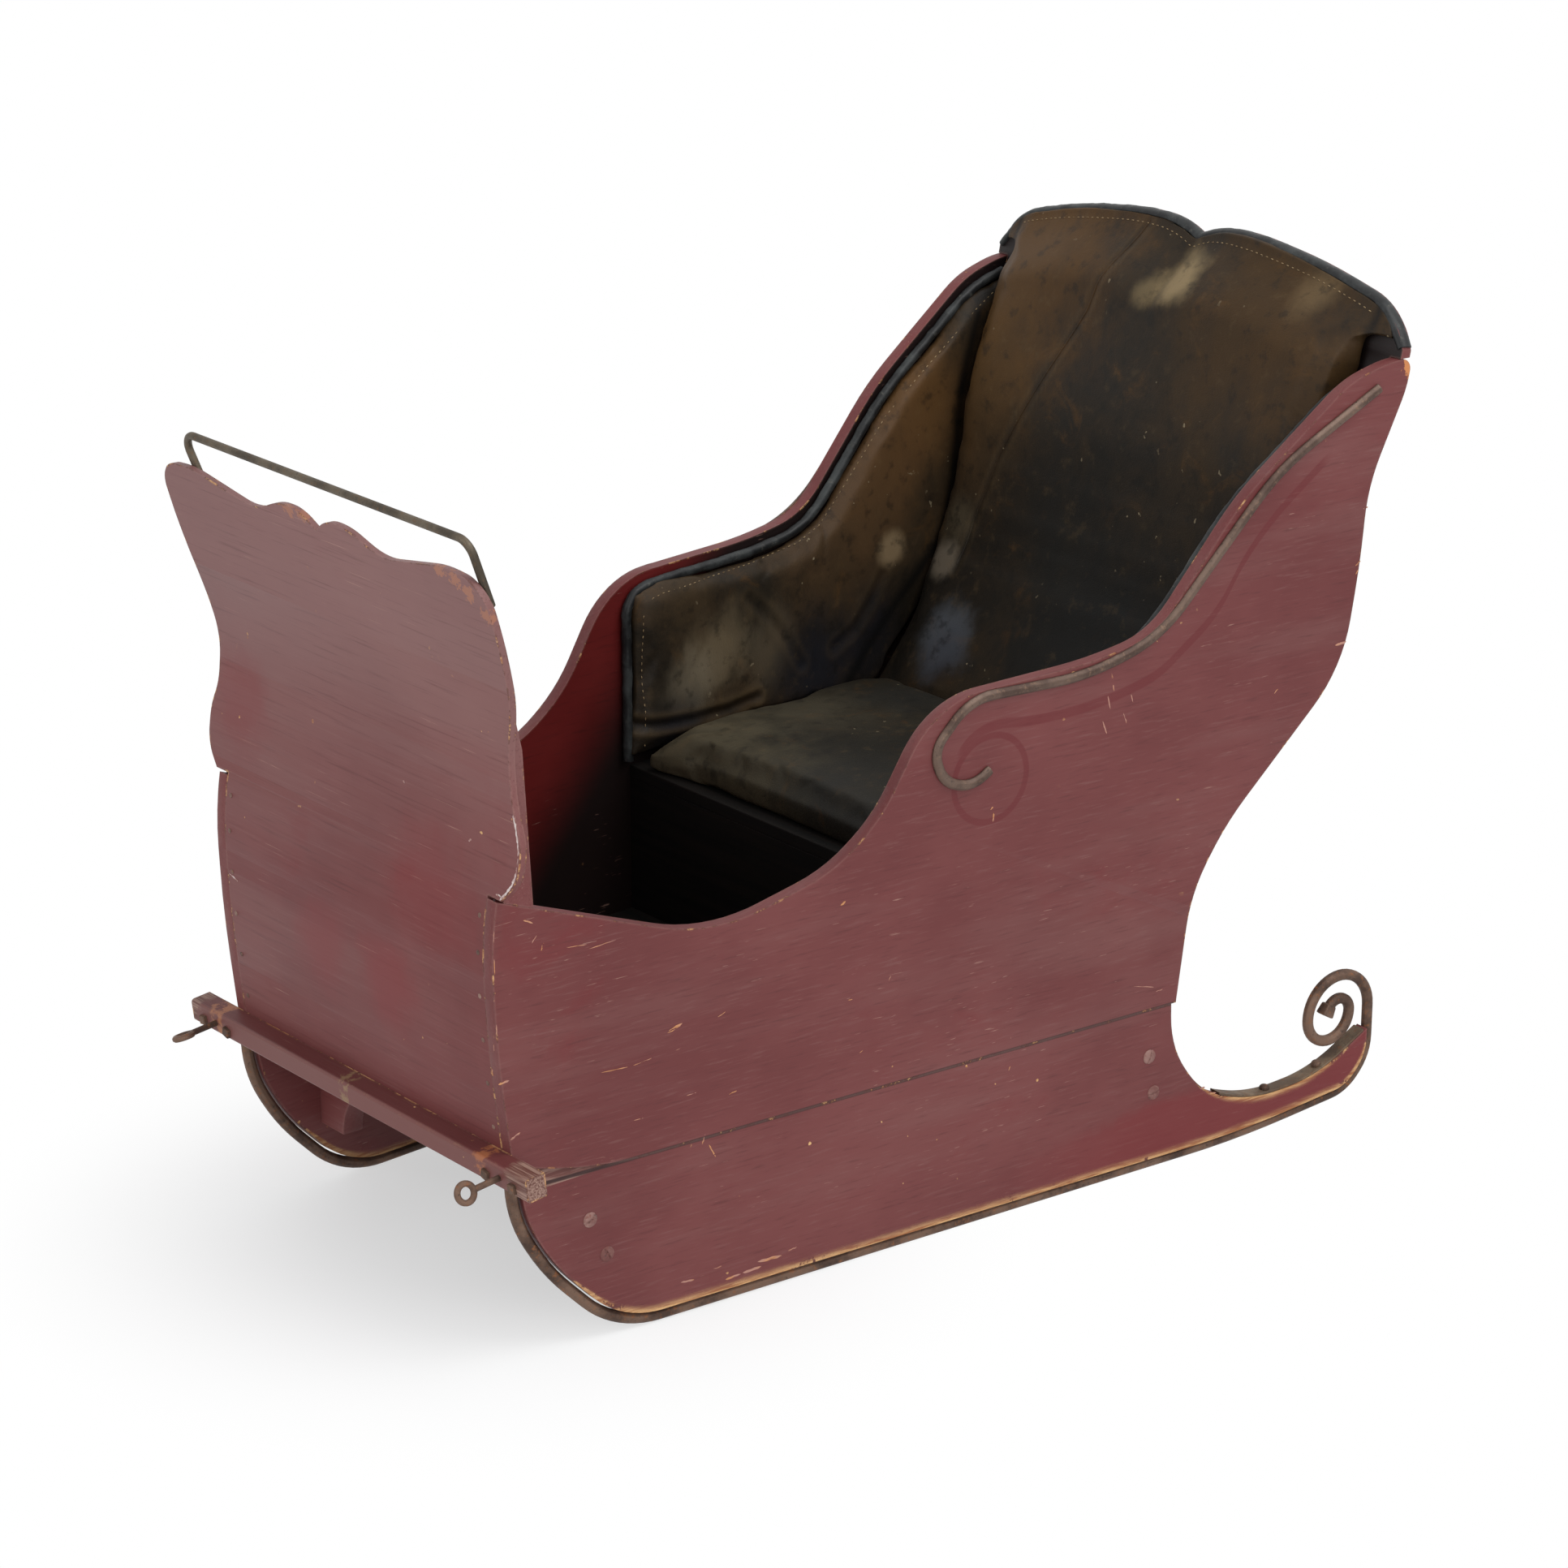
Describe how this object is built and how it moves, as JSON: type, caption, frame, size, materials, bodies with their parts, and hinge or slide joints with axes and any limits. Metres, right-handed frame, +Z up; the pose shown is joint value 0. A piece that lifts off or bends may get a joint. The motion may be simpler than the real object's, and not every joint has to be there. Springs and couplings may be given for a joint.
{
  "type": "child cutter sleigh",
  "caption": "Child's horse-drawn style cutter sleigh with board sides on iron-shod wooden runners, bent dash and back, and a padded seat.",
  "frame": {"origin": "on the ground under the middle of the sleigh's overall length and width", "axes": "+X forward towards the dash, +Y to the child's left, +Z up"},
  "size_m": [0.9703, 0.5128, 0.7522],
  "materials": {
    "painted_wood": "worn maroon paint",
    "inner_wood": "dark red paint, bare beneath",
    "iron": "rusted wrought iron",
    "trim_metal": "dull half round iron",
    "leather": "cracked and rubbed"
  },
  "bodies": {
    "root": {"side_panel_left": "painted_wood", "side_panel_right": "painted_wood", "dashboard": "painted_wood", "dash_stile_left": "painted_wood", "dash_stile_right": "painted_wood", "back_panel": "painted_wood", "floor_board": "inner_wood", "seat_board": "inner_wood", "seat_front": "inner_wood", "runner_left": "painted_wood", "runner_right": "painted_wood", "cross_brace_front": "inner_wood", "cross_brace_rear": "inner_wood", "cross_bar": "painted_wood", "shoe_left": "iron", "shoe_right": "iron", "tail_strap_left": "iron", "tail_strap_right": "iron", "eye_bolt_left": "iron", "eye_bolt_right": "iron", "dash_rail": "iron", "trim_rod_left": "trim_metal", "trim_rod_right": "trim_metal", "seat_cushion": "leather", "back_pad": "leather", "side_pad_left": "leather", "side_pad_right": "leather"}
  },
  "joints": []
}
